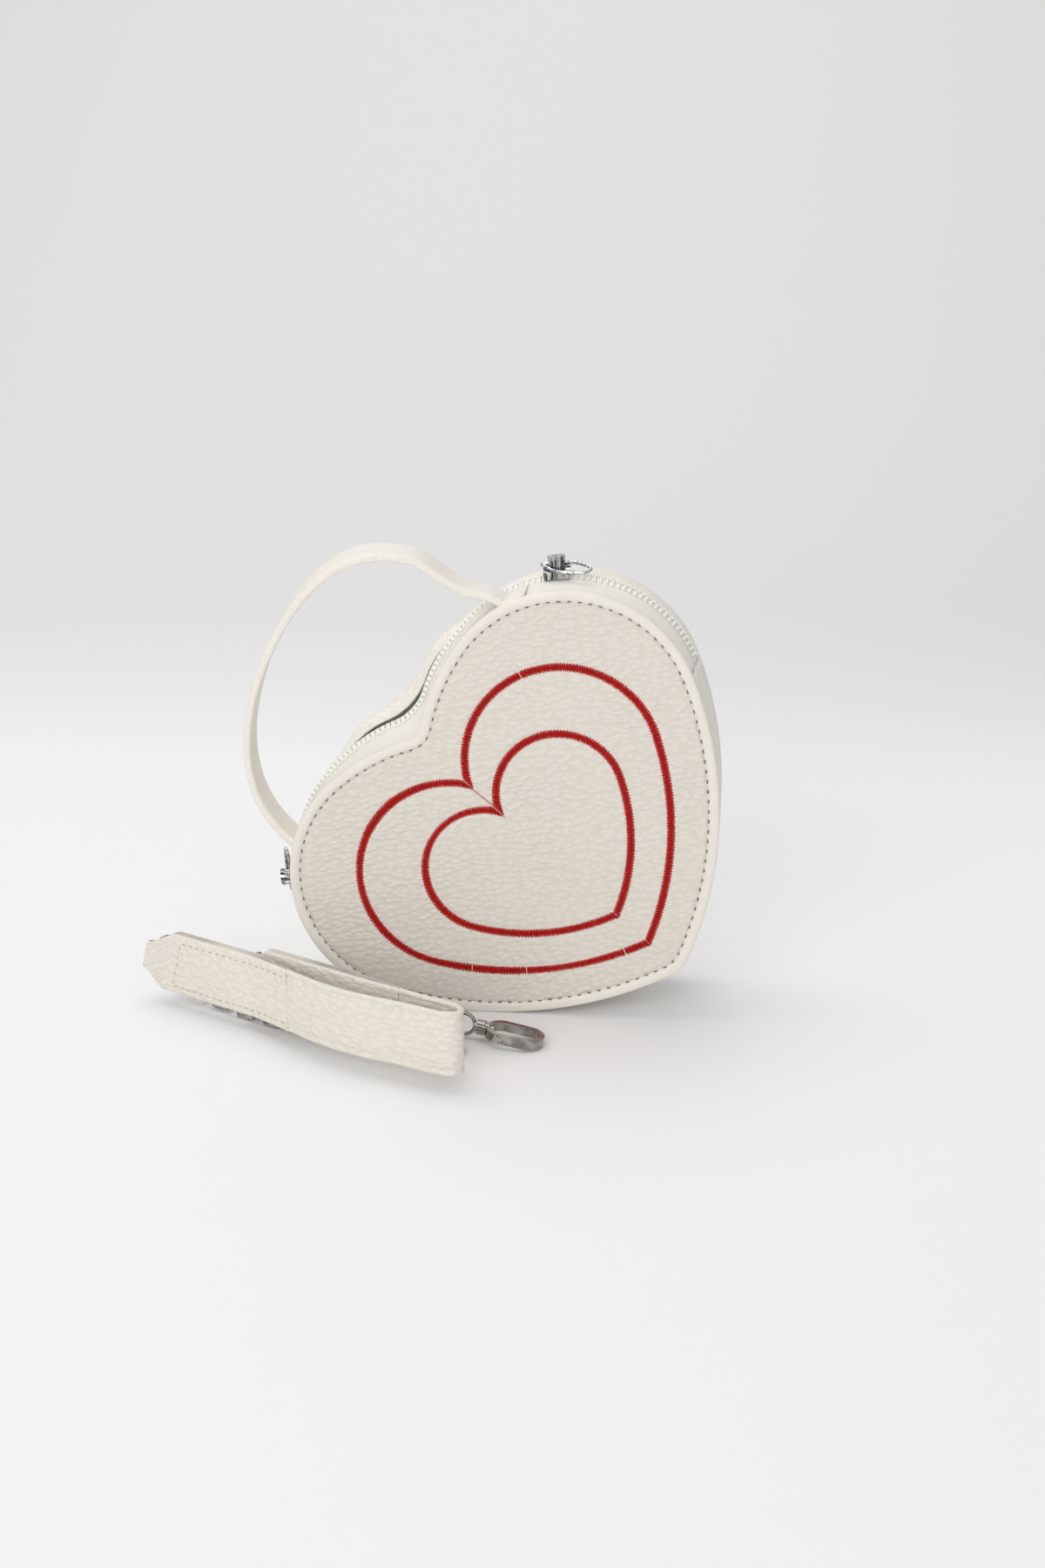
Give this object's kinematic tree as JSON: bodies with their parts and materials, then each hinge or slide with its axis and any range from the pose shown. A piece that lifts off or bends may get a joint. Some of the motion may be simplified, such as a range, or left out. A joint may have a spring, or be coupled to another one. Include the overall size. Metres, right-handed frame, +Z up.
{
  "type": "heart shaped purse",
  "caption": "Small heart shaped purse standing on one flank, with a two-way zip, a top handle and a detachable strap on chain ends with swivel hooks.",
  "frame": {"origin": "the point where the left flank rests on the floor, midway between the front and back panels", "axes": "+X to the right of the front view, +Y from the front panel to the back panel, +Z up; the heart's own axis leans 48.4 degrees to the left of +Z"},
  "size_m": [0.242, 0.1354, 0.1981],
  "materials": {
    "leather": "fine pebble grain, satin",
    "leather_gusset": "smooth, satin",
    "lining": "woven cotton",
    "board": "pressed fibre board",
    "thread_red": "satin stitch in polyester thread",
    "teeth": "moulded",
    "zip_tape": "woven tape",
    "chrome": "polished",
    "gunmetal": "dark plated, polished"
  },
  "bodies": {
    "front_half": {"front_panel": "leather", "front_band": "leather", "front_board": "board", "front_lining": "lining", "inner_pocket": "lining", "embroidery_outer": "thread_red", "embroidery_inner": "thread_red", "front_tape": "zip_tape", "front_teeth": "teeth", "lower_gusset": "leather_gusset", "lower_back_panel": "leather", "lower_back_band": "leather", "lower_back_lining": "lining", "zip_tab_right": "zip_tape", "zip_tab_left": "zip_tape", "handle_foot_right": "leather", "handle_foot_left": "leather"},
    "back_half": {"upper_back_panel": "leather", "upper_back_band": "leather", "upper_back_board": "board", "upper_back_lining": "lining", "back_strip": "leather_gusset", "back_tape": "zip_tape", "back_teeth": "teeth", "dee_loop_right": "leather", "dee_loop_left": "leather"},
    "top_handle": {"handle": "leather"},
    "zip_slider_right": {"slider_right": "chrome"},
    "zip_bail_right": {"bail_right": "chrome"},
    "zip_slider_left": {"slider_left": "chrome"},
    "zip_bail_left": {"bail_left": "chrome"},
    "dee_right": {"dee_ring_right": "chrome"},
    "dee_left": {"dee_ring_left": "chrome"},
    "shoulder_strap": {"strap_band": "leather", "strap_end_front": "leather", "strap_end_rear": "leather", "strap_ring_front": "gunmetal", "strap_ring_rear": "gunmetal", "chain_front": "gunmetal", "chain_rear": "gunmetal", "swivel_front": "gunmetal", "swivel_rear": "gunmetal"},
    "hook_front_part": {"hook_front": "gunmetal", "gate_pin_front": "gunmetal"},
    "gate_front_part": {"gate_front": "gunmetal"},
    "hook_rear_part": {"hook_rear": "gunmetal", "gate_pin_rear": "gunmetal"},
    "gate_rear_part": {"gate_rear": "gunmetal"}
  },
  "joints": [
    {"name": "back_opens", "type": "hinge", "parent": "front_half", "child": "back_half", "pos_m": [0.02062, 0.0259, 0.07818], "axis": [-0.6639, 0, -0.7478], "range_deg": [0, 35]},
    {"name": "handle_tips", "type": "hinge", "parent": "front_half", "child": "top_handle", "pos_m": [-0.04535, -0.0122, 0.13675], "axis": [0.6639, 0, 0.7478], "range_deg": [-25, 25], "stiffness_Nm_per_rad": 0.03},
    {"name": "slider_right_travels", "type": "hinge", "parent": "front_half", "child": "zip_slider_right", "pos_m": [0.03344, 0, 0.12911], "axis": [0, 1, 0], "range_deg": [-3, 65]},
    {"name": "bail_right_swings", "type": "hinge", "parent": "zip_slider_right", "child": "zip_bail_right", "pos_m": [0.02683, 0, 0.19105], "axis": [-0.9943, 0, -0.1062], "range_deg": [0, 200]},
    {"name": "slider_left_travels", "type": "hinge", "parent": "front_half", "child": "zip_slider_left", "pos_m": [-0.02843, 0, 0.05941], "axis": [0, 1, 0], "range_deg": [-57, 3]},
    {"name": "bail_left_swings", "type": "hinge", "parent": "zip_slider_left", "child": "zip_bail_left", "pos_m": [-0.08992, 0, 0.0494], "axis": [0.1607, 0, -0.987], "range_deg": [0, 200]},
    {"name": "dee_right_swings", "type": "hinge", "parent": "back_half", "child": "dee_right", "pos_m": [0.0151, 0.02743, 0.14459], "axis": [0.6639, 0, 0.7478], "range_deg": [0, 140]},
    {"name": "dee_left_swings", "type": "hinge", "parent": "back_half", "child": "dee_left", "pos_m": [-0.04598, 0.02743, 0.0758], "axis": [0.6639, 0, 0.7478], "range_deg": [0, 140]},
    {"name": "strap_lifts_off", "type": "slide", "parent": "front_half", "child": "shoulder_strap", "axis": [0, 0, 1], "range_m": [0, 0.21]},
    {"name": "hook_front_swivels", "type": "hinge", "parent": "shoulder_strap", "child": "hook_front_part", "pos_m": [-0.03227, -0.06082, 0.006], "axis": [0.9481, -0.2899, -0.1305], "continuous": true},
    {"name": "gate_front_opens", "type": "hinge", "parent": "hook_front_part", "child": "gate_front_part", "pos_m": [-0.02304, -0.07034, 0.00447], "axis": [0.1248, -0.0382, 0.9914], "range_deg": [0, 25], "stiffness_Nm_per_rad": 0.002, "springref_deg": -11.46},
    {"name": "hook_rear_swivels", "type": "hinge", "parent": "shoulder_strap", "child": "hook_rear_part", "pos_m": [-0.0006, -0.05437, 0.006], "axis": [0.9764, -0.1722, -0.1305], "continuous": true},
    {"name": "gate_rear_opens", "type": "hinge", "parent": "hook_rear_part", "child": "gate_rear_part", "pos_m": [0.00971, -0.06269, 0.00447], "axis": [0.1285, -0.0227, 0.9914], "range_deg": [0, 25], "stiffness_Nm_per_rad": 0.002, "springref_deg": -11.46}
  ]
}
